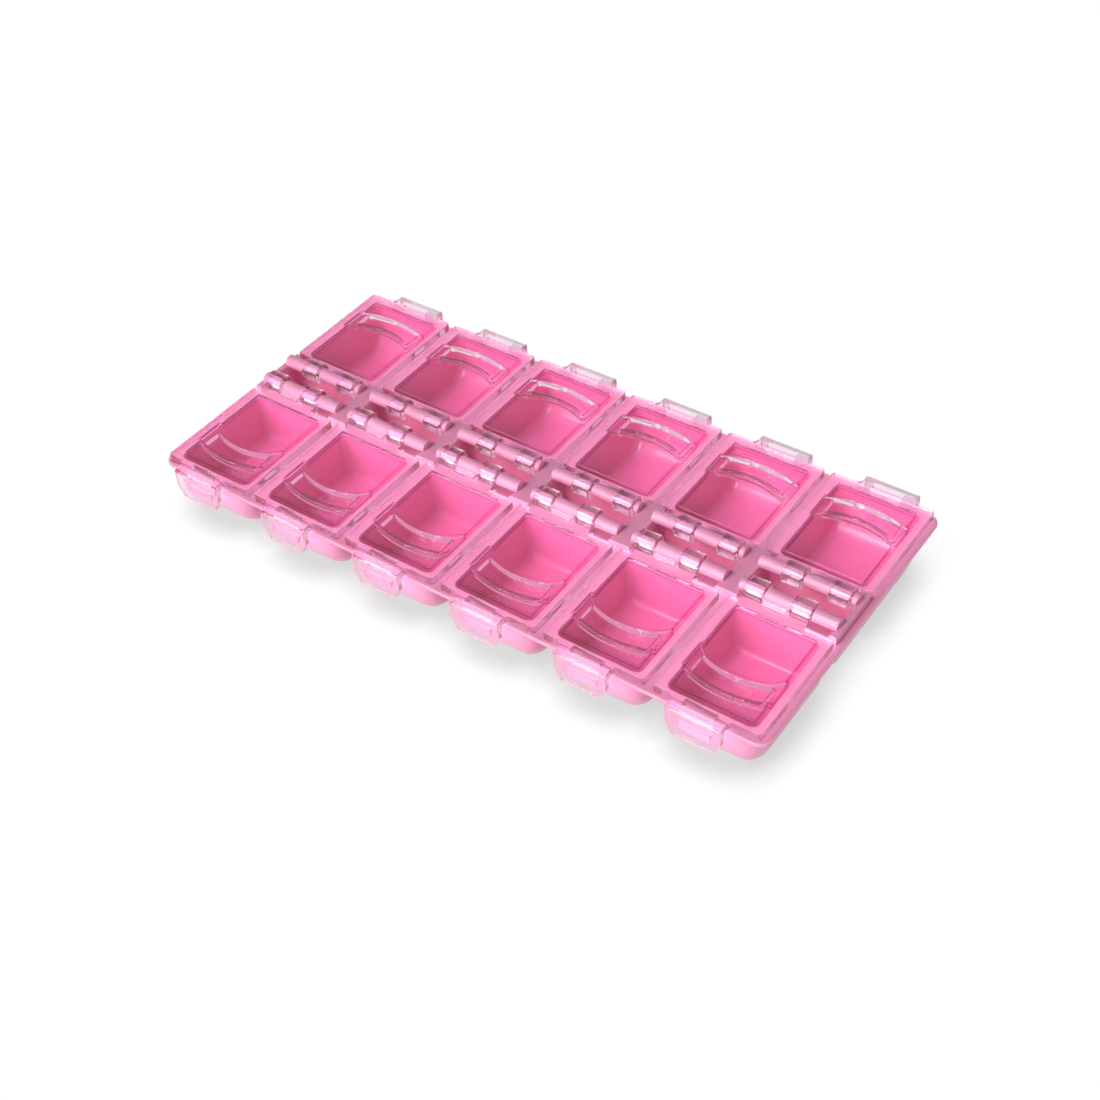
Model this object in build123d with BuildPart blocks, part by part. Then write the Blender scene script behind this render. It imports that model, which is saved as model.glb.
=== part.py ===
"""Individual lid bead organizer: a moulded tray of twelve scooped cups, each under its own hinged lid.

Millimetres. The long side with its six columns runs along X, the two rows lie at -Y (near) and +Y (far), and
+Z is up. The origin is in the middle of the footprint, on the plane that the cups stand on.

One cup and one lid are drawn for the far row at column centre x = 0, with the hinge towards the middle of the
tray. The near row is the same shapes turned half a turn about Z.
"""

import os
from math import cos, radians, sin

from build123d import *

# ---------------------------------------------------------------- driving dimensions
COLUMNS = 6
PITCH = 21.5  # from one column to the next
TRAY_LENGTH = 130.0
TRAY_WIDTH = 62.4
LID_TOP_Z = 12.4  # top face of a closed lid
PLATE_THICKNESS = 1.6
RUNNING_GAP = 0.05  # between a closed lid and the flange that it rests over

# flange that joins the cups
FLANGE_TOP_Z = LID_TOP_Z - PLATE_THICKNESS - RUNNING_GAP
FLANGE_THICKNESS = 1.15
FLANGE_CORNER_RADIUS = 2.4
FLANGE_EDGE_CHAMFER = 0.5
FLANGE_EDGE_ROUND = 0.35

# cups, outside and inside
CUP_HALF_WIDTH_TOP = 9.4
CUP_HALF_WIDTH_FOOT = 8.4
CUP_HINGE_Y = 6.5
CUP_LATCH_Y = 30.2
CUP_SIDE_RADIUS = 3.2
CUP_SCOOP_RADIUS = 6.6
CUP_HINGE_RADIUS = 1.6
WALL = 1.05
FLOOR = 1.2
CAVITY_SIDE_RADIUS = 1.5
CAVITY_SCOOP_RADIUS = 6.2
CAVITY_HINGE_RADIUS = 1.2

# strip between the rows: open wells, the bars between them and the rods across them. A rod is a fat barrel
# except where a hook runs, where only its thin core is left
WELL_HALF_LENGTH = 8.95
WELL_HALF_WIDTH = 4.8
WELL_DEPTH = 4.9
WELL_CORNER_RADIUS = 1.0
WELL_WALL_X = 0.6
BAR_HALF_LENGTH = 6.1
BAR_TOP_Z = 12.5
BAR_END_LENGTH = 1.3  # the wider end of a bar, which stands on the ledge beside the cups
BAR_END_EXTRA = 0.35  # how far a bar's end stands out on each side
BAR_ROUND = 0.3
ROD_Y = 3.3
ROD_Z = 12.7
ROD_CORE_RADIUS = 0.6
BARREL_RADIUS = 1.3
BARREL_GAP = 0.2  # beside each hook

# lid plate
LID_WIDTH = 20.1
LID_HINGE_Y = 6.45
LID_LATCH_Y = 30.5
LID_CORNER_RADIUS = 0.7
LID_EDGE_ROUND = 0.22

# sunk window, with two raised lands across it and the finger pocket between them
WINDOW_HALF_WIDTH = 7.56
WINDOW_HINGE_Y = 7.9
WINDOW_LATCH_Y = 28.2
WINDOW_DEPTH = 0.4
WINDOW_WIDE_HALF_WIDTH = 8.15
WINDOW_WIDE_START_Y = 18.5
WINDOW_WIDE_END_Y = 24.1
WINDOW_EDGE_ROUND = 0.15
LAND_HALF_WIDTH = 0.42
LAND_END_X = 9.0
INNER_LAND = {"crest": (0, 21.55), "knee": (5.9, 20.4), "end": (LAND_END_X, 17.5)}
OUTER_LAND = {"crest": (0, 25.75), "knee": (7.5, 24.3), "end": (LAND_END_X, 23.65)}
POCKET_HALF_WIDTH = 6.6
POCKET_DEPTH = 1.3
POCKET_WALL = 0.6
POCKET_FLOOR = 0.8
POCKET_ROUND = 0.3

# hinge arms and hooks
ARMS_X = ((-4.5, -0.72), (4.4, 8.19))
HOOK_GAP = 0.06  # radial running clearance on the rod
HOOK_WALL = 1.4
HOOK_MOUTH_START = 236.0  # degrees about the rod, from +Y towards +Z
HOOK_MOUTH_END = 304.0
HOOK_ROUND = 0.25  # along the outer edges of the hooks
ARM_FOOT_Y = 4.4  # lower inner corner of an arm
HINGE_LIP_Y = 4.8  # edge of the strip that joins the two arms of a lid
RIB_OUTER_Y = 5.95  # the rib that stiffens that strip
RIB_HEIGHT = 0.35
RIB_SIDE_GAP = 0.35
RIB_ROUND = 0.12

# latch
LATCH_CENTRE_X = 0.82
LATCH_WIDTH = 10.4
LATCH_OUTER_Y = 33.2
LATCH_WALL = 1.1
LATCH_FOOT_Z = 6.1
LATCH_ROOT_THICKNESS = 1.3
LATCH_FOOT_TAPER = 1.3  # how far each lower corner is cut in
LATCH_TAPER_HEIGHT = 2.6
LATCH_REACH = 4.0  # from inside the plate to the latch's outer face
LATCH_ROOT_RADIUS = 1.0
LATCH_FOOT_RADIUS = 1.2
LATCH_SHOULDER_RADIUS = 0.9  # along the top of the latch's outer face
CATCH_TIP_Y = 31.1
CATCH_TIP_Z = 8.7
CATCH_HALF_HEIGHT = 0.95
CATCH_HALF_WIDTH = 3.0
SLOT_CENTRE_X = 0.7
SLOT_WIDTH = 6.1
SLOT_INNER_Y = 30.1
SLOT_OUTER_Y = 31.6

# ---------------------------------------------------------------- worked-out values
COLUMN_X = [(column - (COLUMNS - 1) / 2) * PITCH for column in range(COLUMNS)]
HALF_TURN = Location((0, 0, 0), (0, 0, 180))
BAR_TOP_LENGTH_X = PITCH - 2 * WELL_HALF_LENGTH
ROD_HALF_LENGTH = WELL_HALF_LENGTH + BAR_ROUND
BARRELS_X = (
    (-ROD_HALF_LENGTH, ARMS_X[0][0] - BARREL_GAP),
    (ARMS_X[0][1] + BARREL_GAP, ARMS_X[1][0] - BARREL_GAP),
    (ARMS_X[1][1] + BARREL_GAP, ROD_HALF_LENGTH),
)
LID_FOOT_Z = LID_TOP_Z - PLATE_THICKNESS
LID_SIDE_X = COLUMN_X[-1] + LID_WIDTH / 2
TOLERANCE = 0.01

os.makedirs("parts", exist_ok=True)


# ---------------------------------------------------------------- one cup, as a block
def scooped_block(
    half_top,
    half_foot,
    hinge_y,
    latch_y,
    foot_z,
    top_z,
    side_radius,
    scoop_radius,
    hinge_radius,
):
    """A block with drafted sides, a plain hinge wall and a rounded scoop at its latch end."""
    with BuildPart() as block:
        with BuildSketch(Plane.YZ):
            with BuildLine():
                Polyline(
                    (hinge_y, foot_z),
                    (hinge_y, top_z),
                    (latch_y, top_z),
                    (latch_y, foot_z + scoop_radius),
                )
                RadiusArc((latch_y, foot_z + scoop_radius), (latch_y - scoop_radius, foot_z), scoop_radius)
                Line((latch_y - scoop_radius, foot_z), (hinge_y, foot_z))
            make_face()
        extrude(amount=half_top, both=True)
        with BuildSketch(Plane.XZ):
            Polygon(
                (-half_foot, foot_z),
                (half_foot, foot_z),
                (half_top, top_z),
                (-half_top, top_z),
                align=None,
            )
        extrude(amount=-latch_y, mode=Mode.INTERSECT)
        side_faces = block.faces().sort_by(Axis.X)[0] + block.faces().sort_by(Axis.X)[-1]
        side_edges = [
            edge
            for edge in side_faces.edges()
            if edge.center().Z < top_z - TOLERANCE and edge.center().Y > hinge_y + TOLERANCE
        ]
        fillet(side_edges, side_radius)
        hinge_edges = block.faces().sort_by(Axis.Y)[0].edges()
        fillet([edge for edge in hinge_edges if edge.center().Z < top_z - TOLERANCE], hinge_radius)
    return block.part


CUP_BODY = scooped_block(
    CUP_HALF_WIDTH_TOP,
    CUP_HALF_WIDTH_FOOT,
    CUP_HINGE_Y,
    CUP_LATCH_Y,
    0,
    FLANGE_TOP_Z - FLANGE_THICKNESS / 2,
    CUP_SIDE_RADIUS,
    CUP_SCOOP_RADIUS,
    CUP_HINGE_RADIUS,
)
CUP_CAVITY = scooped_block(
    CUP_HALF_WIDTH_TOP - WALL,
    CUP_HALF_WIDTH_FOOT - WALL,
    CUP_HINGE_Y + WALL,
    CUP_LATCH_Y - WALL,
    FLOOR,
    FLANGE_TOP_Z,
    CAVITY_SIDE_RADIUS,
    CAVITY_SCOOP_RADIUS,
    CAVITY_HINGE_RADIUS,
)
CUP_PLACES = [Location((x, 0, 0)) for x in COLUMN_X] + [Location((x, 0, 0)) * HALF_TURN for x in COLUMN_X]


# ---------------------------------------------------------------- the tray
def bar_sketch(inner_x, outer_x, end_extra_inner, end_extra_outer):
    """Plan of one raised bar, from inner_x to outer_x, wider at its two ends."""
    waist_y = BAR_HALF_LENGTH - BAR_END_LENGTH
    Polygon((inner_x, -waist_y), (outer_x, -waist_y), (outer_x, waist_y), (inner_x, waist_y), align=None)
    for near_y, far_y in ((-BAR_HALF_LENGTH, -waist_y), (waist_y, BAR_HALF_LENGTH)):
        left_x = inner_x - end_extra_inner
        right_x = outer_x + end_extra_outer
        Polygon((left_x, near_y), (right_x, near_y), (right_x, far_y), (left_x, far_y), align=None)


# one rod, with its barrels beside and between the hooks
with BuildPart() as rod:
    with BuildSketch(Plane.YZ):
        with Locations((ROD_Y, ROD_Z)):
            Circle(ROD_CORE_RADIUS)
    extrude(amount=ROD_HALF_LENGTH, both=True)
    for barrel_start, barrel_end in BARRELS_X:
        with BuildSketch(Plane.YZ.offset(barrel_start)):
            with Locations((ROD_Y, ROD_Z)):
                Circle(BARREL_RADIUS)
        extrude(amount=barrel_end - barrel_start)


with BuildPart() as tray:
    # flange, with its edges eased
    with BuildSketch(Plane.XY.offset(FLANGE_TOP_Z)):
        RectangleRounded(TRAY_LENGTH, TRAY_WIDTH, FLANGE_CORNER_RADIUS)
    extrude(amount=-FLANGE_THICKNESS)
    chamfer(tray.faces().sort_by(Axis.Z)[0].edges(), FLANGE_EDGE_CHAMFER)
    fillet(tray.faces().sort_by(Axis.Z)[-1].edges(), FLANGE_EDGE_ROUND)
    # cups
    with Locations(*CUP_PLACES):
        add(CUP_BODY)
    # boxes round the wells
    with BuildSketch(Plane.XY.offset(FLANGE_TOP_Z - FLANGE_THICKNESS / 2)):
        with Locations(*[(x, 0) for x in COLUMN_X]):
            RectangleRounded(
                2 * (WELL_HALF_LENGTH + WELL_WALL_X),
                2 * (WELL_HALF_WIDTH + WALL),
                WELL_CORNER_RADIUS + WALL,
            )
    extrude(amount=-(WELL_DEPTH + WALL - FLANGE_THICKNESS / 2))
    # bars between the wells, and a half bar at each end
    with BuildSketch(Plane.XY.offset(FLANGE_TOP_Z)):
        for left_column in COLUMN_X[:-1]:
            middle_x = left_column + PITCH / 2
            half_bar = BAR_TOP_LENGTH_X / 2
            bar_sketch(middle_x - half_bar, middle_x + half_bar, BAR_END_EXTRA, BAR_END_EXTRA)
        bar_sketch(COLUMN_X[-1] + WELL_HALF_LENGTH, LID_SIDE_X, BAR_END_EXTRA, 0)
        bar_sketch(-LID_SIDE_X, -COLUMN_X[-1] - WELL_HALF_LENGTH, 0, BAR_END_EXTRA)
    extrude(amount=BAR_TOP_Z - FLANGE_TOP_Z)
    fillet(tray.faces().sort_by(Axis.Z)[-1 - COLUMNS :].edges(), BAR_ROUND)
    # hollows
    with Locations(*CUP_PLACES):
        add(CUP_CAVITY, mode=Mode.SUBTRACT)
    with BuildSketch(Plane.XY.offset(FLANGE_TOP_Z)):
        with Locations(*[(x, 0) for x in COLUMN_X]):
            RectangleRounded(2 * WELL_HALF_LENGTH, 2 * WELL_HALF_WIDTH, WELL_CORNER_RADIUS)
    extrude(amount=-WELL_DEPTH, mode=Mode.SUBTRACT)
    # rods, moulded in one with the bars
    with Locations(*CUP_PLACES):
        add(rod.part)
tray.part.label = "tray"
export_step(tray.part, "parts/tray.step")


# ---------------------------------------------------------------- one lid
def around_rod(radius, angle):
    """Point in the YZ plane at a radius and an angle about the rod's axis."""
    return (ROD_Y + radius * cos(radians(angle)), ROD_Z + radius * sin(radians(angle)))


with BuildPart() as lid:
    # plate and latch root under one outline
    with BuildSketch(Plane.XY.offset(LID_TOP_Z)) as top_outline:
        with Locations((0, (LID_HINGE_Y + LID_LATCH_Y) / 2)):
            RectangleRounded(LID_WIDTH, LID_LATCH_Y - LID_HINGE_Y, LID_CORNER_RADIUS)
        with Locations((LATCH_CENTRE_X, LATCH_OUTER_Y - LATCH_REACH / 2)):
            Rectangle(LATCH_WIDTH, LATCH_REACH)
        root_corners = top_outline.vertices().filter_by_position(
            Axis.Y, LID_LATCH_Y - TOLERANCE, LID_LATCH_Y + TOLERANCE
        )
        fillet(root_corners.sort_by(Axis.X)[1:-1], LATCH_ROOT_RADIUS)
    extrude(amount=-LATCH_ROOT_THICKNESS)
    with BuildSketch(Plane.XY.offset(LID_FOOT_Z)):
        with Locations((0, (LID_HINGE_Y + LID_LATCH_Y) / 2)):
            RectangleRounded(LID_WIDTH, LID_LATCH_Y - LID_HINGE_Y, LID_CORNER_RADIUS)
    extrude(amount=PLATE_THICKNESS)

    # latch apron, round along its shoulder
    latch_left = LATCH_CENTRE_X - LATCH_WIDTH / 2
    latch_right = LATCH_CENTRE_X + LATCH_WIDTH / 2
    with BuildSketch(Plane.XZ.offset(-LATCH_OUTER_Y)) as apron_outline:
        Polygon(
            (latch_left, LID_TOP_Z),
            (latch_right, LID_TOP_Z),
            (latch_right, LATCH_FOOT_Z + LATCH_TAPER_HEIGHT),
            (latch_right - LATCH_FOOT_TAPER, LATCH_FOOT_Z),
            (latch_left + LATCH_FOOT_TAPER, LATCH_FOOT_Z),
            (latch_left, LATCH_FOOT_Z + LATCH_TAPER_HEIGHT),
            align=None,
        )
        fillet(apron_outline.vertices().sort_by(Axis.Y)[:4], LATCH_FOOT_RADIUS)
    extrude(amount=LATCH_WALL)
    shoulder = lid.faces().sort_by(Axis.Y)[-1].edges().sort_by(Axis.Z)[-1]
    fillet(shoulder, LATCH_SHOULDER_RADIUS)

    # the top edge and the latch's outer edges, eased in one run
    shoulder_z = LID_TOP_Z - LATCH_SHOULDER_RADIUS
    shoulder_y = LATCH_OUTER_Y - LATCH_SHOULDER_RADIUS
    top_edges = lid.faces().sort_by(Axis.Z)[-1].edges()
    apron_edges = lid.faces().sort_by(Axis.Y)[-1].edges()
    shoulder_ends = lid.edges().filter_by(
        lambda edge: edge.center().Z > shoulder_z + TOLERANCE and edge.center().Y > shoulder_y + TOLERANCE
    )
    eased_edges = [edge for edge in top_edges if edge.center().Y < shoulder_y - TOLERANCE]
    eased_edges += [edge for edge in apron_edges if edge.center().Z < shoulder_z - TOLERANCE]
    eased_edges += [edge for edge in shoulder_ends if edge.geom_type == GeomType.CIRCLE]
    fillet(eased_edges, LID_EDGE_ROUND)

    # sunk window, wider beside the finger pocket, with the two lands left standing across it
    with BuildSketch(Plane.XY.offset(LID_TOP_Z)) as window_plan:
        with Locations((0, (WINDOW_HINGE_Y + WINDOW_LATCH_Y) / 2)):
            Rectangle(2 * WINDOW_HALF_WIDTH, WINDOW_LATCH_Y - WINDOW_HINGE_Y)
        with Locations((0, (WINDOW_WIDE_START_Y + WINDOW_WIDE_END_Y) / 2)):
            Rectangle(2 * WINDOW_WIDE_HALF_WIDTH, WINDOW_WIDE_END_Y - WINDOW_WIDE_START_Y)
        for land in (INNER_LAND, OUTER_LAND):
            (end_x, end_y), (knee_x, knee_y), (crest_x, crest_y) = land["end"], land["knee"], land["crest"]
            with BuildLine():
                for step in (-LAND_HALF_WIDTH, LAND_HALF_WIDTH):
                    Line((-end_x, end_y + step), (-knee_x, knee_y + step))
                    ThreePointArc(
                        (-knee_x, knee_y + step),
                        (crest_x, crest_y + step),
                        (knee_x, knee_y + step),
                    )
                    Line((knee_x, knee_y + step), (end_x, end_y + step))
                Line((-end_x, end_y - LAND_HALF_WIDTH), (-end_x, end_y + LAND_HALF_WIDTH))
                Line((end_x, end_y - LAND_HALF_WIDTH), (end_x, end_y + LAND_HALF_WIDTH))
            make_face(mode=Mode.SUBTRACT)
    extrude(amount=-WINDOW_DEPTH, mode=Mode.SUBTRACT)
    recess_edges = [edge for wire in lid.faces().sort_by(Axis.Z)[-1].inner_wires() for edge in wire.edges()]
    fillet(recess_edges, WINDOW_EDGE_ROUND)

    # finger pocket: the middle of the sunk strip between the lands, cut deeper, with a thin wall round it
    with BuildSketch(Plane.XY.offset(LID_TOP_Z - POCKET_DEPTH), mode=Mode.PRIVATE) as pocket_plan:
        add(window_plan.sketch_local.faces().sort_by(Axis.Y)[1])
        with Locations((0, WINDOW_LATCH_Y / 2)):
            Rectangle(2 * POCKET_HALF_WIDTH, WINDOW_LATCH_Y, mode=Mode.INTERSECT)
        end_corners = [
            corner for corner in pocket_plan.vertices() if abs(corner.X) > POCKET_HALF_WIDTH - TOLERANCE
        ]
        fillet(end_corners, POCKET_ROUND)
    with BuildSketch(Plane.XY.offset(LID_TOP_Z - POCKET_DEPTH - POCKET_FLOOR)):
        add(pocket_plan.sketch_local)
        offset(amount=POCKET_WALL)
    extrude(amount=POCKET_DEPTH + POCKET_FLOOR - PLATE_THICKNESS / 2)
    extrude(pocket_plan.sketch, amount=POCKET_DEPTH, mode=Mode.SUBTRACT)

    # catch that snaps under the flange
    with BuildSketch(Plane.YZ.offset(LATCH_CENTRE_X)):
        Polygon(
            (LATCH_OUTER_Y - LATCH_WALL, CATCH_TIP_Z + CATCH_HALF_HEIGHT),
            (LATCH_OUTER_Y - LATCH_WALL, CATCH_TIP_Z - CATCH_HALF_HEIGHT),
            (CATCH_TIP_Y, CATCH_TIP_Z),
            align=None,
        )
    extrude(amount=CATCH_HALF_WIDTH, both=True)

    # slot through the root, which forms the catch in the mould
    with BuildSketch(Plane.XY.offset(LID_TOP_Z)):
        with Locations((SLOT_CENTRE_X, (SLOT_INNER_Y + SLOT_OUTER_Y) / 2)):
            Rectangle(SLOT_WIDTH, SLOT_OUTER_Y - SLOT_INNER_Y)
    extrude(amount=-2 * PLATE_THICKNESS, mode=Mode.SUBTRACT)

    # hinge arms, each ending in a hook that is open downwards
    hook_outer = ROD_CORE_RADIUS + HOOK_GAP + HOOK_WALL
    for arm_left, arm_right in ARMS_X:
        with BuildPart(mode=Mode.PRIVATE) as arm:
            with BuildSketch(Plane.YZ.offset(arm_left)):
                with Locations((ROD_Y, ROD_Z)):
                    Circle(hook_outer)
            extrude(amount=arm_right - arm_left)
            fillet(arm.edges().filter_by(GeomType.CIRCLE), HOOK_ROUND)
            with BuildSketch(Plane.YZ.offset(arm_left)):
                Polygon(
                    (ROD_Y, LID_TOP_Z),
                    (LID_HINGE_Y + LID_CORNER_RADIUS, LID_TOP_Z),
                    (LID_HINGE_Y + LID_CORNER_RADIUS, LID_FOOT_Z),
                    (ARM_FOOT_Y, LID_FOOT_Z),
                    align=None,
                )
            extrude(amount=arm_right - arm_left)
            with BuildSketch(Plane.YZ.offset(arm_left)):
                with Locations((ROD_Y, ROD_Z)):
                    Circle(ROD_CORE_RADIUS + HOOK_GAP)
                Polygon(
                    (ROD_Y, ROD_Z),
                    around_rod(2 * hook_outer, HOOK_MOUTH_START),
                    around_rod(2 * hook_outer, HOOK_MOUTH_END),
                    align=None,
                )
            extrude(amount=arm_right - arm_left, mode=Mode.SUBTRACT)
        add(arm.part)

    # strip of the plate that joins the two arms
    with BuildSketch(Plane.XY.offset(LID_FOOT_Z)):
        Polygon(
            (ARMS_X[0][1] - HOOK_ROUND, HINGE_LIP_Y),
            (ARMS_X[1][0] + HOOK_ROUND, HINGE_LIP_Y),
            (ARMS_X[1][0] + HOOK_ROUND, LID_HINGE_Y + LID_CORNER_RADIUS),
            (ARMS_X[0][1] - HOOK_ROUND, LID_HINGE_Y + LID_CORNER_RADIUS),
            align=None,
        )
    extrude(amount=PLATE_THICKNESS)

    # rib along that strip
    with BuildPart(mode=Mode.PRIVATE) as rib:
        with BuildSketch(Plane.XY.offset(LID_TOP_Z - PLATE_THICKNESS / 2)):
            Polygon(
                (ARMS_X[0][1] + RIB_SIDE_GAP, HINGE_LIP_Y),
                (ARMS_X[1][0] - RIB_SIDE_GAP, HINGE_LIP_Y),
                (ARMS_X[1][0] - RIB_SIDE_GAP, RIB_OUTER_Y),
                (ARMS_X[0][1] + RIB_SIDE_GAP, RIB_OUTER_Y),
                align=None,
            )
        extrude(amount=PLATE_THICKNESS / 2 + RIB_HEIGHT)
        fillet(rib.faces().sort_by(Axis.Z)[-1].edges(), RIB_ROUND)
    add(rib.part)
lid.part.label = "lid"


# ---------------------------------------------------------------- the twelve lids in their places
for number, x in enumerate(COLUMN_X, start=1):
    for row, turn in (("near", 180), ("far", 0)):
        with BuildPart() as placed_lid:
            with Locations(Location((x, 0, 0), (0, 0, turn))):
                add(lid.part)
        placed_lid.part.label = f"lid_{row}_{number}"
        export_step(placed_lid.part, f"parts/lid_{row}_{number}.step")
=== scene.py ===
"""Individual lid bead organizer: finishes for the moulded tray and its twelve clear lids, and a plain studio.

Metres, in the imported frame: +X along the six columns, +Y from the near row to the far row, +Z up. The tray
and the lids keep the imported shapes; this file gives them their plastics and makes the floor, the lamps, the
sky and the camera.
"""

from math import pi, radians

import bpy
from bpy.props import FloatProperty, FloatVectorProperty, PointerProperty
from bpy.types import Operator, Panel, PropertyGroup
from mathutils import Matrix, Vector

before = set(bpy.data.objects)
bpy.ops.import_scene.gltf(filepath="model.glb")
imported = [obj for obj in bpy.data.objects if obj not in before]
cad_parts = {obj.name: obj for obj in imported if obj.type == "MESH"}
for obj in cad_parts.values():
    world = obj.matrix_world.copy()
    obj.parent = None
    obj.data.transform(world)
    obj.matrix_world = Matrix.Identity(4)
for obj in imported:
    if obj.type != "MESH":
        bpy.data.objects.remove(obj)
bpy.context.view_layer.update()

bl_info = {
    "name": "Individual lid bead organizer",
    "version": (1, 0, 0),
    "blender": (4, 5, 0),
    "location": "View3D > Sidebar > Bead organizer",
    "description": "Finishes a flat bead organizer with clear flip lids and sets it in a plain studio",
    "category": "Object",
}

TRAY_NODE = "tray"
LID_NODES = sorted(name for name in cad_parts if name.startswith("lid_"))
COLUMN_PITCH = 0.0215
# the two rectangles of a window: half width, half length, and its middle along Y
WINDOW = (0.00756, 0.01015, 0.01805)
WINDOW_WIDE = (0.00815, 0.0028, 0.0213)
# what is hollow in the tray, where the pink gets painted shade: the middle of a cup along Y, its reach, and the
# reach of the wells
CUP_MIDDLE_Y = 0.01835
CUP_HALF_WIDTH = 0.0093
CUP_LATCH_Y = 0.0301
WELL_HALF_WIDTH = 0.0056
HOLLOW_MIDDLE_Z = 0.008
# the moulded skins: size of the waves, size of the orange peel, strength and depth of the relief
TRAY_SKIN = {"wave": 0.012, "peel": 0.0011, "strength": 0.25, "depth": 0.00004}
LID_SKIN = {"wave": 0.009, "peel": 0.0014, "strength": 0.2, "depth": 0.00003}
WAVE_DETAIL = 2.0
WAVE_ROUGHNESS = 0.4
PEEL_DETAIL = 1.0
PEEL_ROUGHNESS = 0.5
PEEL_SHARE = 0.12  # height of the peel against the waves
GLOSS_SWING = 0.04  # how far the tray's roughness swings either way
TRAY_REFRACTION = 1.5
GLOW_REACH = (1.0, 0.35, 0.55)  # how far red, green and blue spread, against each other
HALF_COUNT = 0.5  # halfway between two whole counts of bounces
CLEAR_FACES = 3  # clear faces behind which the surroundings still show, painted pink as a stand-in for the tray's pink bent through the plastic
# share of open sky on the floor at which the soft shadow is deepest, and at which it ends
SHADOW_DEEPEST_AT = 0.5
SHADOW_ENDS_AT = 0.93
SHADOW_SAMPLES = 8
# height of a direction at which the white walls give way to the ceiling
CEILING_STARTS = 0.2
CEILING_FULL = 0.6
# lamps: where each comes from, and its spread in degrees
KEY_FROM = (-0.14, -0.62, 0.77)
KEY_SPREAD = 20.0
FRONT_FROM = (-0.35, -0.92, 0.22)
FRONT_SPREAD = 30.0
RIGHT_FROM = (0.93, -0.30, 0.15)
RIGHT_SPREAD = 45.0
GLEAM_FROM = (-0.45, -0.58, 0.68)
GLEAM_SPREAD = 8.0
CAMERA_PLACE = (0.140657, -0.180241, 0.211358)
CAMERA_TURN = (radians(46.527), radians(2.733), radians(35.049))
SENSOR_WIDTH = 36.0
NEAREST_SEEN = 0.01
WHITE = (1.0, 1.0, 1.0)
BLACK = (0.0, 0.0, 0.0)
# sockets of a colour mix: both colours and the result
MIX_FIRST = 6
MIX_SECOND = 7
MIX_RESULT = 2


# ---------------------------------------------------------------- sizes and colours to change
class TrayFinish(PropertyGroup):
    """The pink plastic of the tray, with painted shade deepening the pink inside its cups and wells."""

    colour: FloatVectorProperty(
        name="Pink",
        description="Colour of the outside, the flange and the bars",
        subtype="COLOR",
        size=3,
        min=0.0,
        max=1.0,
        default=(0.85, 0.335, 0.53),
    )
    # painted shade: the darker, deeper pink that stands in for the shade deep inside the cups
    cup_shade_colour: FloatVectorProperty(
        name="Deep pink",
        description="Colour deep inside the cups and wells",
        subtype="COLOR",
        size=3,
        min=0.0,
        max=1.0,
        default=(0.82, 0.14, 0.37),
    )
    # painted shade: the darker, muted pink that stands in for the shade deep in the wells under the hinges
    well_shade_colour: FloatVectorProperty(
        name="Well pink",
        description="Colour inside the wells under the hinges",
        subtype="COLOR",
        size=3,
        min=0.0,
        max=1.0,
        default=(0.80, 0.24, 0.41),
    )
    mottle: FloatProperty(
        name="Mottle",
        description="How much the pink varies where the melt flowed thinner or thicker",
        subtype="FACTOR",
        min=0.0,
        max=1.0,
        default=0.12,
    )
    # painted shade: the heights between which the pink darkens into the painted shade colour
    painted_shade_from: FloatProperty(
        name="Deep from",
        description="Height at which the pink starts to deepen",
        unit="LENGTH",
        default=0.0107,
    )
    painted_shade_to: FloatProperty(
        name="Deep to",
        description="Height from which the pink is at its deepest",
        unit="LENGTH",
        default=0.0101,
    )
    roughness: FloatProperty(
        name="Roughness",
        description="Gloss of the moulded skin",
        subtype="FACTOR",
        min=0.0,
        max=1.0,
        default=0.22,
    )
    depth_of_glow: FloatProperty(
        name="Depth of glow",
        description="How far light spreads inside the plastic",
        unit="LENGTH",
        min=0.0,
        default=0.0014,
    )
    glow: FloatProperty(
        name="Glow",
        description="Share of the light that wanders inside the plastic",
        subtype="FACTOR",
        min=0.0,
        max=1.0,
        default=0.3,
    )


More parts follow.
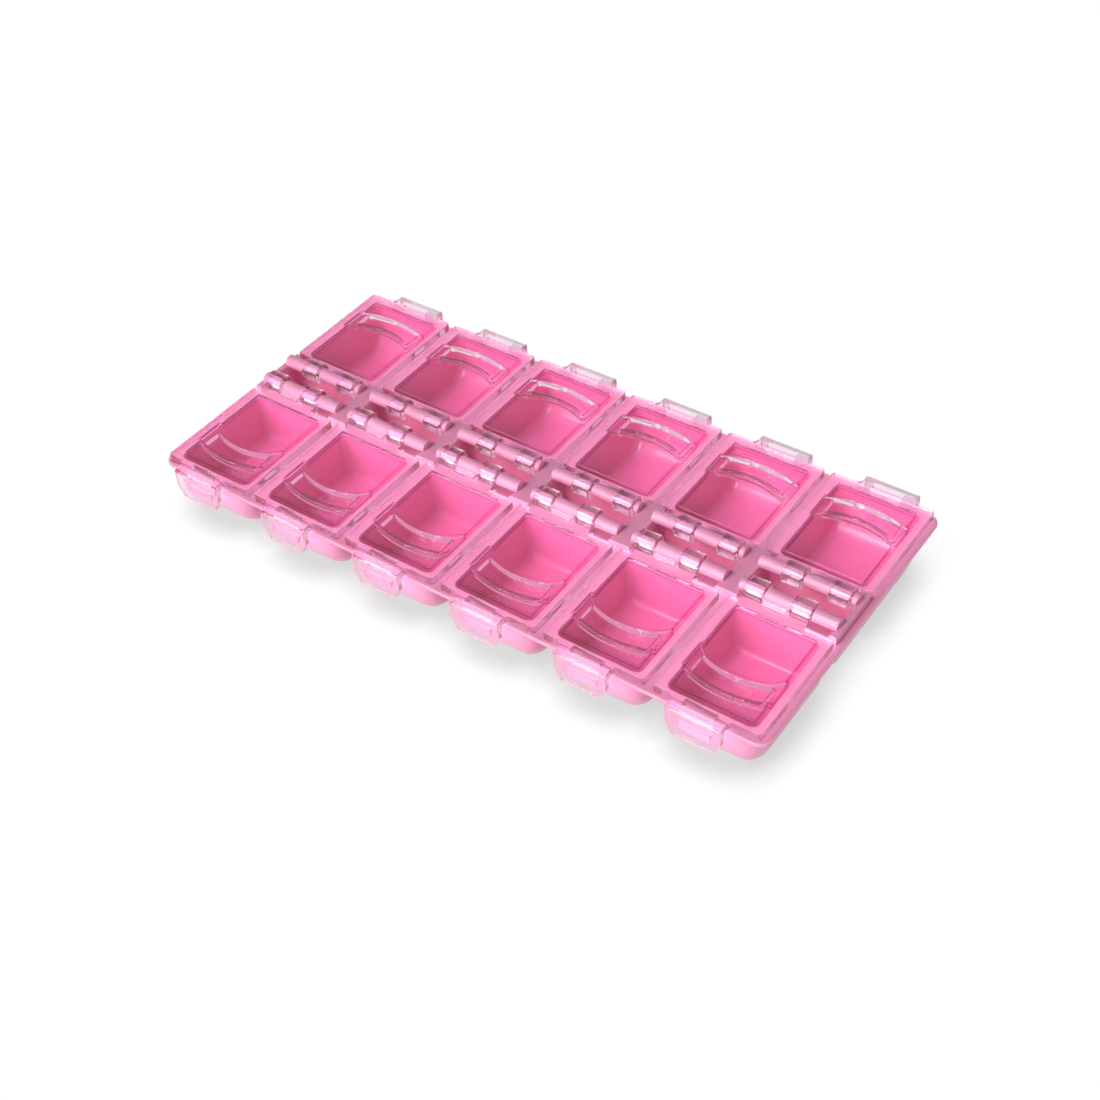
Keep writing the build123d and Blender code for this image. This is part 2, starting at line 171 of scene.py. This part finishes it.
class LidFinish(PropertyGroup):
    """The clear plastic of the lids."""

    tint: FloatVectorProperty(
        name="Tint",
        description="Colour of the clear plastic",
        subtype="COLOR",
        size=3,
        min=0.0,
        max=1.0,
        default=(0.97, 0.95, 0.98),
    )
    rim_tint: FloatVectorProperty(
        name="Rim tint",
        description="Colour of the thicker rims, latches and hooks",
        subtype="COLOR",
        size=3,
        min=0.0,
        max=1.0,
        default=(0.95, 0.81, 0.89),
    )
    # painted shade: a dark line along the step round each window, standing in for the dark refraction there
    step_shade_tint: FloatVectorProperty(
        name="Edge tint",
        description="Colour caught in the step round a window",
        subtype="COLOR",
        size=3,
        min=0.0,
        max=1.0,
        default=(0.45, 0.14, 0.30),
    )
    trapped_tint: FloatVectorProperty(
        name="Trapped tint",
        description="Colour of light that wandered along inside the plastic",
        subtype="COLOR",
        size=3,
        min=0.0,
        max=1.0,
        default=(0.90, 0.56, 0.72),
    )
    edge_width: FloatProperty(
        name="Edge width",
        description="Width of the step round a window",
        unit="LENGTH",
        min=0.0,
        default=0.0003,
    )
    clearness: FloatProperty(
        name="Clearness",
        description="Share of the light that passes through; the rest makes the plastic slightly milky",
        subtype="FACTOR",
        min=0.0,
        max=1.0,
        default=0.985,
    )
    roughness: FloatProperty(
        name="Roughness",
        description="Polish of the windows",
        subtype="FACTOR",
        min=0.0,
        max=1.0,
        default=0.02,
    )
    rim_roughness: FloatProperty(
        name="Rim roughness",
        description="Gloss of the rims round the windows",
        subtype="FACTOR",
        min=0.0,
        max=1.0,
        default=0.16,
    )
    refraction: FloatProperty(
        name="Refraction", description="Index of refraction of the plastic", min=1.0, max=2.0, default=1.5
    )
    shade: FloatProperty(
        name="Shade",
        description="Share of the lamps' light that a lid lets through",
        subtype="FACTOR",
        min=0.0,
        max=1.0,
        default=1.0,
    )
    longest_path: FloatProperty(
        name="Longest path",
        description="Bounces inside an edge after which light leaves it straight instead of being lost",
        min=1.0,
        max=12.0,
        default=6.0,
    )


class StudioSettings(PropertyGroup):
    """Floor, lamps, sky and camera."""

    floor_side: FloatProperty(
        name="Floor side", description="Side of the square floor", unit="LENGTH", min=0.1, default=6.0
    )
    floor_colour: FloatVectorProperty(
        name="Floor",
        description="Colour of the pale floor",
        subtype="COLOR",
        size=3,
        min=0.0,
        max=1.0,
        default=(0.80, 0.80, 0.80),
    )
    floor_share: FloatProperty(
        name="Floor share",
        description="Share of the lamps' light in what is seen of the floor",
        subtype="FACTOR",
        min=0.0,
        max=1.0,
        default=0.08,
    )
    floor_lift: FloatProperty(
        name="Floor lift", description="How much the floor is lifted towards white", min=0.0, default=0.97
    )
    shadow_reach: FloatProperty(
        name="Shadow reach",
        description="How far the soft shadow spreads on the floor",
        unit="LENGTH",
        min=0.0,
        default=0.0072,
    )
    shadow_depth: FloatProperty(
        name="Shadow depth",
        description="Brightness of the floor where half the sky is hidden",
        subtype="FACTOR",
        min=0.0,
        max=1.0,
        default=0.66,
    )
    sky_fill: FloatProperty(name="Sky fill", description="Strength of the even light", min=0.0, default=0.06)
    ceiling: FloatProperty(
        name="Ceiling", description="Brightness of the ceiling in reflections", min=0.0, max=1.0, default=0.12
    )
    # painted reflection: the pink that the surroundings take on behind clear parts, standing in for the tray's
    # pink bent through them
    painted_pink_through_clear: FloatVectorProperty(
        name="Seen through clear parts",
        description="Colour of the surroundings where they are seen through clear plastic",
        subtype="COLOR",
        size=3,
        min=0.0,
        max=1.0,
        default=(0.86, 0.46, 0.64),
    )
    key_light: FloatProperty(
        name="Key light", description="Strength of the high light", min=0.0, default=0.58
    )
    gleam: FloatProperty(
        name="Gleam", description="Strength of the narrow light from the left", min=0.0, default=0.10
    )
    front_light: FloatProperty(
        name="Front light", description="Strength of the low front light", min=0.0, default=0.47
    )
    right_light: FloatProperty(
        name="Right light", description="Strength of the low right light", min=0.0, default=0.40
    )
    lens: FloatProperty(
        name="Lens", description="Focal length on a 36 mm sensor", subtype="DISTANCE_CAMERA", default=54.571
    )


# ---------------------------------------------------------------- node helpers
def new_material(name):
    """An empty node material with its output node."""
    material = bpy.data.materials.new(name)
    material.use_nodes = True
    material.node_tree.nodes.clear()
    return material, material.node_tree


def feed(tree, socket, value):
    """Links a socket to another one, or sets it to a plain value."""
    if isinstance(value, bpy.types.NodeSocket):
        tree.links.new(value, socket)
    else:
        socket.default_value = value


def add_node(tree, kind, settings=None, **inputs):
    """Adds a node, sets its properties from settings and its sockets from the named inputs."""
    node = tree.nodes.new(kind)
    for name, value in (settings or {}).items():
        setattr(node, name, value)
    for name, value in inputs.items():
        feed(tree, node.inputs[name.replace("_", " ")], value)
    return node


def math_node(tree, operation, first, second):
    """One arithmetic step; each side is a number or a socket."""
    node = tree.nodes.new("ShaderNodeMath")
    node.operation = operation
    for socket, value in zip(node.inputs, (first, second)):
        feed(tree, socket, value)
    return node.outputs[0]


def colour4(rgb):
    """A colour with full alpha."""
    return (*rgb, 1.0)


def colour_mix(tree, share, first, second):
    """Goes from the first colour to the second as the share rises; each is a socket or red, green and blue."""
    node = add_node(tree, "ShaderNodeMix", {"data_type": "RGBA"}, Factor=share)
    for place, value in ((MIX_FIRST, first), (MIX_SECOND, second)):
        is_socket = isinstance(value, bpy.types.NodeSocket)
        feed(tree, node.inputs[place], value if is_socket else colour4(value))
    return node.outputs[MIX_RESULT]


# ---------------------------------------------------------------- shared effects
def moulded_skin_group():
    """Slow waviness and a fine orange peel, as steel leaves on moulded plastic."""
    name = "moulded_skin"
    if name in bpy.data.node_groups:
        return bpy.data.node_groups[name]
    group = bpy.data.node_groups.new(name, "ShaderNodeTree")
    group.interface.new_socket("Wave size", in_out="INPUT", socket_type="NodeSocketFloat")
    group.interface.new_socket("Peel size", in_out="INPUT", socket_type="NodeSocketFloat")
    group.interface.new_socket("Height", in_out="OUTPUT", socket_type="NodeSocketFloat")
    group.interface.new_socket("Flow", in_out="OUTPUT", socket_type="NodeSocketFloat")
    given = group.nodes.new("NodeGroupInput")
    result = group.nodes.new("NodeGroupOutput")
    place = add_node(group, "ShaderNodeTexCoord").outputs["Object"]
    wave_scale = math_node(group, "DIVIDE", 1.0, given.outputs["Wave size"])
    peel_scale = math_node(group, "DIVIDE", 1.0, given.outputs["Peel size"])
    wave = add_node(
        group,
        "ShaderNodeTexNoise",
        Vector=place,
        Scale=wave_scale,
        Detail=WAVE_DETAIL,
        Roughness=WAVE_ROUGHNESS,
    )
    peel = add_node(
        group,
        "ShaderNodeTexNoise",
        Vector=place,
        Scale=peel_scale,
        Detail=PEEL_DETAIL,
        Roughness=PEEL_ROUGHNESS,
    )
    fine = math_node(group, "MULTIPLY", peel.outputs["Fac"], PEEL_SHARE)
    height = math_node(group, "ADD", wave.outputs["Fac"], fine)
    group.links.new(height, result.inputs["Height"])
    group.links.new(wave.outputs["Fac"], result.inputs["Flow"])
    return group


def moulded_skin(tree, sizes):
    """Places the skin in a material and returns its node and the relief made from it."""
    skin = add_node(tree, "ShaderNodeGroup", {"node_tree": moulded_skin_group()})
    skin.inputs["Wave size"].default_value = sizes["wave"]
    skin.inputs["Peel size"].default_value = sizes["peel"]
    relief = add_node(
        tree,
        "ShaderNodeBump",
        Height=skin.outputs["Height"],
        Strength=sizes["strength"],
        Distance=sizes["depth"],
    )
    return skin, relief.outputs["Normal"]


def facing_into_hollow(tree):
    """1 on the walls and floors of the cups and wells, where the painted shade goes, else 0; then 1 in the cups'
    reach, and the height.
    """
    place = add_node(tree, "ShaderNodeTexCoord").outputs["Object"]
    axes = add_node(tree, "ShaderNodeSeparateXYZ", Vector=place).outputs
    facing = add_node(tree, "ShaderNodeNewGeometry").outputs["True Normal"]
    slopes = add_node(tree, "ShaderNodeSeparateXYZ", Vector=facing).outputs
    column = math_node(tree, "FRACT", math_node(tree, "DIVIDE", axes["X"], COLUMN_PITCH), 0.0)
    sideways = math_node(tree, "MULTIPLY", math_node(tree, "SUBTRACT", column, 0.5), COLUMN_PITCH)
    across = math_node(tree, "ABSOLUTE", sideways, 0.0)
    along = math_node(tree, "ABSOLUTE", axes["Y"], 0.0)
    in_cup = math_node(tree, "GREATER_THAN", along, WELL_HALF_WIDTH)
    row = math_node(tree, "SIGN", axes["Y"], 0.0)
    from_middle = math_node(tree, "SUBTRACT", along, math_node(tree, "MULTIPLY", in_cup, CUP_MIDDLE_Y))
    upwards = math_node(tree, "SUBTRACT", axes["Z"], HOLLOW_MIDDLE_Z)
    turned = math_node(tree, "MULTIPLY", slopes["Y"], row)
    outward = math_node(
        tree,
        "ADD",
        math_node(tree, "MULTIPLY", slopes["X"], sideways),
        math_node(
            tree,
            "ADD",
            math_node(tree, "MULTIPLY", turned, from_middle),
            math_node(tree, "MULTIPLY", slopes["Z"], upwards),
        ),
    )
    inward = math_node(tree, "LESS_THAN", outward, 0.0)
    between_sides = math_node(tree, "LESS_THAN", across, CUP_HALF_WIDTH)
    between_ends = math_node(tree, "LESS_THAN", along, CUP_LATCH_Y)
    within = math_node(tree, "MULTIPLY", between_sides, between_ends)
    return math_node(tree, "MULTIPLY", inward, within), in_cup, axes["Z"]


def make_tray_plastic(finish):
    """Glossy bubble-gum pink plastic with a little light inside it, and painted shade deepening the pink down
    inside the cups and wells.
    """
    material, tree = new_material("pink moulded plastic")
    skin, relief = moulded_skin(tree, TRAY_SKIN)
    inside, in_cup, height = facing_into_hollow(tree)
    depth = add_node(
        tree,
        "ShaderNodeMapRange",
        {"interpolation_type": "SMOOTHSTEP"},
        Value=height,
        From_Min=finish.painted_shade_from,
        From_Max=finish.painted_shade_to,
    )
    # painted shade: the pink deepens down the inward walls of the cups and wells, standing in for the shade
    # between the walls
    painted_shade = math_node(tree, "MULTIPLY", inside, depth.outputs["Result"])
    flow = math_node(tree, "SUBTRACT", skin.outputs["Flow"], 0.5)
    spread = math_node(tree, "MULTIPLY", flow, finish.mottle)
    # painted shade colour: the wells' shade pink or the cups' shade pink, chosen by place
    hollow_shade_colour = colour_mix(tree, in_cup, finish.well_shade_colour, finish.cup_shade_colour)
    colour = colour_mix(tree, math_node(tree, "ADD", painted_shade, spread), finish.colour, hollow_shade_colour)
    gloss = add_node(
        tree,
        "ShaderNodeMapRange",
        Value=skin.outputs["Flow"],
        To_Min=finish.roughness - GLOSS_SWING,
        To_Max=finish.roughness + GLOSS_SWING,
    )
    surface = add_node(
        tree,
        "ShaderNodeBsdfPrincipled",
        Base_Color=colour,
        Roughness=gloss.outputs["Result"],
        Normal=relief,
        IOR=TRAY_REFRACTION,
        Subsurface_Weight=finish.glow,
        Subsurface_Radius=GLOW_REACH,
        Subsurface_Scale=finish.depth_of_glow,
    )
    output = add_node(tree, "ShaderNodeOutputMaterial")
    tree.links.new(surface.outputs["BSDF"], output.inputs["Surface"])
    return material


def outside_rectangle(tree, across, along, rectangle):
    """How far a point lies outside a rectangle; negative inside it."""
    half_width, half_length, middle = rectangle
    from_middle = math_node(tree, "ABSOLUTE", math_node(tree, "SUBTRACT", along, middle), 0.0)
    beyond_side = math_node(tree, "SUBTRACT", across, half_width)
    beyond_end = math_node(tree, "SUBTRACT", from_middle, half_length)
    return math_node(tree, "MAXIMUM", beyond_side, beyond_end)


def outside_window(tree):
    """How far a point of a lid lies outside its window; negative inside it."""
    place = add_node(tree, "ShaderNodeTexCoord").outputs["Object"]
    axes = add_node(tree, "ShaderNodeSeparateXYZ", Vector=place).outputs
    column = math_node(tree, "FRACT", math_node(tree, "DIVIDE", axes["X"], COLUMN_PITCH), 0.0)
    off_centre = math_node(tree, "ABSOLUTE", math_node(tree, "SUBTRACT", column, 0.5), 0.0)
    across = math_node(tree, "MULTIPLY", off_centre, COLUMN_PITCH)
    along = math_node(tree, "ABSOLUTE", axes["Y"], 0.0)
    narrow = outside_rectangle(tree, across, along, WINDOW)
    wide = outside_rectangle(tree, across, along, WINDOW_WIDE)
    return math_node(tree, "MINIMUM", narrow, wide)


def make_lid_plastic(finish):
    """Clear polished plastic that bends light and lets the lamps shine through, with a painted dark line of shade
    along each window's step.
    """
    material, tree = new_material("clear moulded plastic")
    _, relief = moulded_skin(tree, LID_SKIN)
    outside = outside_window(tree)
    gloss = add_node(
        tree,
        "ShaderNodeMapRange",
        Value=outside,
        From_Min=0.0,
        From_Max=finish.edge_width,
        To_Min=finish.roughness,
        To_Max=finish.rim_roughness,
    )
    from_step = math_node(tree, "ABSOLUTE", outside, 0.0)
    beyond = math_node(tree, "GREATER_THAN", outside, 0.0)
    body = colour_mix(tree, beyond, finish.tint, finish.rim_tint)
    # painted shade: the dark line is laid in a thin band on the step
    on_step = math_node(tree, "LESS_THAN", from_step, finish.edge_width / 2)
    colour = colour_mix(tree, on_step, body, finish.step_shade_tint)
    surface = add_node(
        tree,
        "ShaderNodeBsdfPrincipled",
        Base_Color=colour,
        Roughness=gloss.outputs["Result"],
        Normal=relief,
        IOR=finish.refraction,
        Transmission_Weight=finish.clearness,
    )
    light_path = add_node(tree, "ShaderNodeLightPath")
    shining_through = math_node(tree, "MULTIPLY", light_path.outputs["Is Shadow Ray"], finish.shade)
    most_mirrored = finish.longest_path / 2 - HALF_COUNT
    most_bounced = finish.longest_path - HALF_COUNT
    mirrored_often = math_node(tree, "GREATER_THAN", light_path.outputs["Glossy Depth"], most_mirrored)
    bounced_often = math_node(tree, "GREATER_THAN", light_path.outputs["Ray Depth"], most_bounced)
    trapped = math_node(tree, "MAXIMUM", mirrored_often, bounced_often)
    share = math_node(tree, "MAXIMUM", shining_through, trapped)
    passed_on = colour_mix(tree, trapped, finish.tint, finish.trapped_tint)
    clear = add_node(tree, "ShaderNodeBsdfTransparent", Color=passed_on)
    mix = add_node(tree, "ShaderNodeMixShader", Fac=share)
    tree.links.new(surface.outputs["BSDF"], mix.inputs[1])
    tree.links.new(clear.outputs["BSDF"], mix.inputs[2])
    output = add_node(tree, "ShaderNodeOutputMaterial")
    tree.links.new(mix.outputs["Shader"], output.inputs["Surface"])
    return material


def seen_directly(tree):
    """1 for rays that show a thing to the eye: straight, by reflection or through a clear lid; 0 for its light."""
    light_path = add_node(tree, "ShaderNodeLightPath").outputs
    mirrored = math_node(tree, "MAXIMUM", light_path["Is Glossy Ray"], light_path["Is Transmission Ray"])
    first = math_node(tree, "LESS_THAN", light_path["Diffuse Depth"], HALF_COUNT)
    mirrored = math_node(tree, "MULTIPLY", mirrored, first)
    return math_node(tree, "MAXIMUM", light_path["Is Camera Ray"], mirrored)


def make_floor_paper(studio):
    """Pale matt paper, lifted towards white where it is seen, with a soft shadow where the sky is hidden."""
    material, tree = new_material("pale studio floor")
    seen = seen_directly(tree)
    share = add_node(tree, "ShaderNodeMapRange", Value=seen, To_Min=1.0, To_Max=studio.floor_share)
    tone = colour_mix(tree, share.outputs["Result"], BLACK, studio.floor_colour)
    paper = add_node(tree, "ShaderNodeBsdfDiffuse", Color=tone)
    open_sky = add_node(
        tree, "ShaderNodeAmbientOcclusion", {"samples": SHADOW_SAMPLES}, Distance=studio.shadow_reach
    )
    soft_shadow = add_node(
        tree,
        "ShaderNodeMapRange",
        Value=open_sky.outputs["AO"],
        From_Min=SHADOW_DEEPEST_AT,
        From_Max=SHADOW_ENDS_AT,
        To_Min=studio.shadow_depth,
        To_Max=1.0,
    )
    lifted = math_node(tree, "MULTIPLY", soft_shadow.outputs["Result"], studio.floor_lift)
    strength = math_node(tree, "MULTIPLY", seen, lifted)
    lift = add_node(tree, "ShaderNodeEmission", Color=colour4(WHITE), Strength=strength)
    both = add_node(tree, "ShaderNodeAddShader")
    tree.links.new(paper.outputs["BSDF"], both.inputs[0])
    tree.links.new(lift.outputs["Emission"], both.inputs[1])
    output = add_node(tree, "ShaderNodeOutputMaterial")
    tree.links.new(both.outputs["Shader"], output.inputs["Surface"])
    return material


# ---------------------------------------------------------------- operators
def dress(node_name, material):
    """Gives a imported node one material."""
    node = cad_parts[node_name]
    node.data.materials.clear()
    node.data.materials.append(material)


class BEADBOX_OT_finish_tray(Operator):
    """Give the tray its pink moulded plastic"""

    bl_idname = "beadbox.finish_tray"
    bl_label = "Finish the tray"

    def execute(self, context):
        dress(TRAY_NODE, make_tray_plastic(context.scene.tray_finish))
        return {"FINISHED"}


class BEADBOX_OT_finish_lids(Operator):
    """Give the twelve lids their clear moulded plastic"""

    bl_idname = "beadbox.finish_lids"
    bl_label = "Finish the lids"

    def execute(self, context):
        plastic = make_lid_plastic(context.scene.lid_finish)
        for name in LID_NODES:
            dress(name, plastic)
        return {"FINISHED"}


def add_soft_light(name, direction, spread, level):
    """A broad far light from one direction; level 1 shows a facing surface about as its colour is written."""
    data = bpy.data.lights.new(name, "SUN")
    data.angle = radians(spread)
    data.energy = level * pi
    lamp = bpy.data.objects.new(name, data)
    bpy.context.scene.collection.objects.link(lamp)
    lamp.location = direction
    lamp.rotation_euler = Vector(direction).to_track_quat("Z", "Y").to_euler()
    lamp.visible_transmission = False


class BEADBOX_OT_build_studio(Operator):
    """Make the floor, the lamps, the sky and the camera"""

    bl_idname = "beadbox.build_studio"
    bl_label = "Build the studio"

    def execute(self, context):
        studio = context.scene.studio
        self.make_floor(studio)
        self.make_sky(context, studio)
        add_soft_light("key light", KEY_FROM, KEY_SPREAD, studio.key_light)
        add_soft_light("front light", FRONT_FROM, FRONT_SPREAD, studio.front_light)
        add_soft_light("right light", RIGHT_FROM, RIGHT_SPREAD, studio.right_light)
        add_soft_light("gleam", GLEAM_FROM, GLEAM_SPREAD, studio.gleam)
        self.make_camera(context, studio)
        context.scene.view_settings.view_transform = "Standard"
        return {"FINISHED"}

    def make_floor(self, studio):
        """A square floor under the cups."""
        bpy.ops.object.select_all(action="DESELECT")
        bpy.ops.mesh.primitive_plane_add(size=studio.floor_side, location=(0.0, 0.0, 0.0))
        floor = bpy.context.active_object
        floor.name = "studio_floor"
        floor.data.materials.append(make_floor_paper(studio))

    def make_sky(self, context, studio):
        """White where it is seen, painted pink where it is seen through a few clear faces as a stand-in for the
        tray's pink, and an even fill of its own strength.
        """
        world = bpy.data.worlds.new("studio sky")
        world.use_nodes = True
        tree = world.node_tree
        tree.nodes.clear()
        direction = add_node(tree, "ShaderNodeTexCoord").outputs["Generated"]
        height = add_node(tree, "ShaderNodeSeparateXYZ", Vector=direction)
        light_path = add_node(tree, "ShaderNodeLightPath").outputs
        faces = light_path["Transmission Depth"]
        entered = math_node(tree, "GREATER_THAN", faces, HALF_COUNT)
        few_faces = math_node(tree, "LESS_THAN", faces, CLEAR_FACES + HALF_COUNT)
        through = math_node(tree, "MULTIPLY", entered, few_faces)
        ceiling = add_node(
            tree,
            "ShaderNodeMapRange",
            {"interpolation_type": "SMOOTHSTEP"},
            Value=height.outputs["Z"],
            From_Min=CEILING_STARTS,
            From_Max=CEILING_FULL,
            To_Min=1.0,
            To_Max=studio.ceiling,
        )
        shown = math_node(tree, "MAXIMUM", ceiling.outputs["Result"], light_path["Is Camera Ray"])
        shown = math_node(tree, "MAXIMUM", shown, through)
        strength = add_node(
            tree, "ShaderNodeMapRange", Value=seen_directly(tree), To_Min=studio.sky_fill, To_Max=shown
        )
        # painted reflection: the sky turns pink where it is seen through clear parts
        colour = colour_mix(tree, through, WHITE, studio.painted_pink_through_clear)
        sky = add_node(tree, "ShaderNodeBackground", Color=colour, Strength=strength.outputs["Result"])
        output = add_node(tree, "ShaderNodeOutputWorld")
        tree.links.new(sky.outputs["Background"], output.inputs["Surface"])
        context.scene.world = world

    def make_camera(self, context, studio):
        """Looks down on the box from its near right corner."""
        data = bpy.data.cameras.new("studio camera")
        data.sensor_width = SENSOR_WIDTH
        data.lens = studio.lens
        data.clip_start = NEAREST_SEEN
        camera = bpy.data.objects.new("studio camera", data)
        context.scene.collection.objects.link(camera)
        camera.location = CAMERA_PLACE
        camera.rotation_euler = CAMERA_TURN
        context.scene.camera = camera


class BEADBOX_PT_sidebar(Panel):
    """Lists the steps and what can be changed."""

    bl_idname = "BEADBOX_PT_sidebar"
    bl_label = "Bead organizer"
    bl_space_type = "VIEW_3D"
    bl_region_type = "UI"
    bl_category = "Bead organizer"

    def draw(self, context):
        for group in (context.scene.tray_finish, context.scene.lid_finish, context.scene.studio):
            box = self.layout.box()
            for name in group.__annotations__:
                box.prop(group, name)
        for step in STEPS:
            self.layout.operator(step.bl_idname)


GROUPS = {"tray_finish": TrayFinish, "lid_finish": LidFinish, "studio": StudioSettings}
STEPS = (BEADBOX_OT_finish_tray, BEADBOX_OT_finish_lids, BEADBOX_OT_build_studio)


def register():
    """Makes the groups, operators and panel known to Blender."""
    for kind in (*GROUPS.values(), *STEPS, BEADBOX_PT_sidebar):
        bpy.utils.register_class(kind)
    for name, kind in GROUPS.items():
        setattr(bpy.types.Scene, name, PointerProperty(type=kind))


def unregister():
    """Takes them away again."""
    for name in GROUPS:
        delattr(bpy.types.Scene, name)
    for kind in (BEADBOX_PT_sidebar, *reversed(STEPS), *reversed(GROUPS.values())):
        bpy.utils.unregister_class(kind)


def main():
    """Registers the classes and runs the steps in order."""
    register()
    bpy.ops.beadbox.finish_tray()
    bpy.ops.beadbox.finish_lids()
    bpy.ops.beadbox.build_studio()


if __name__ == "__main__":
    main()
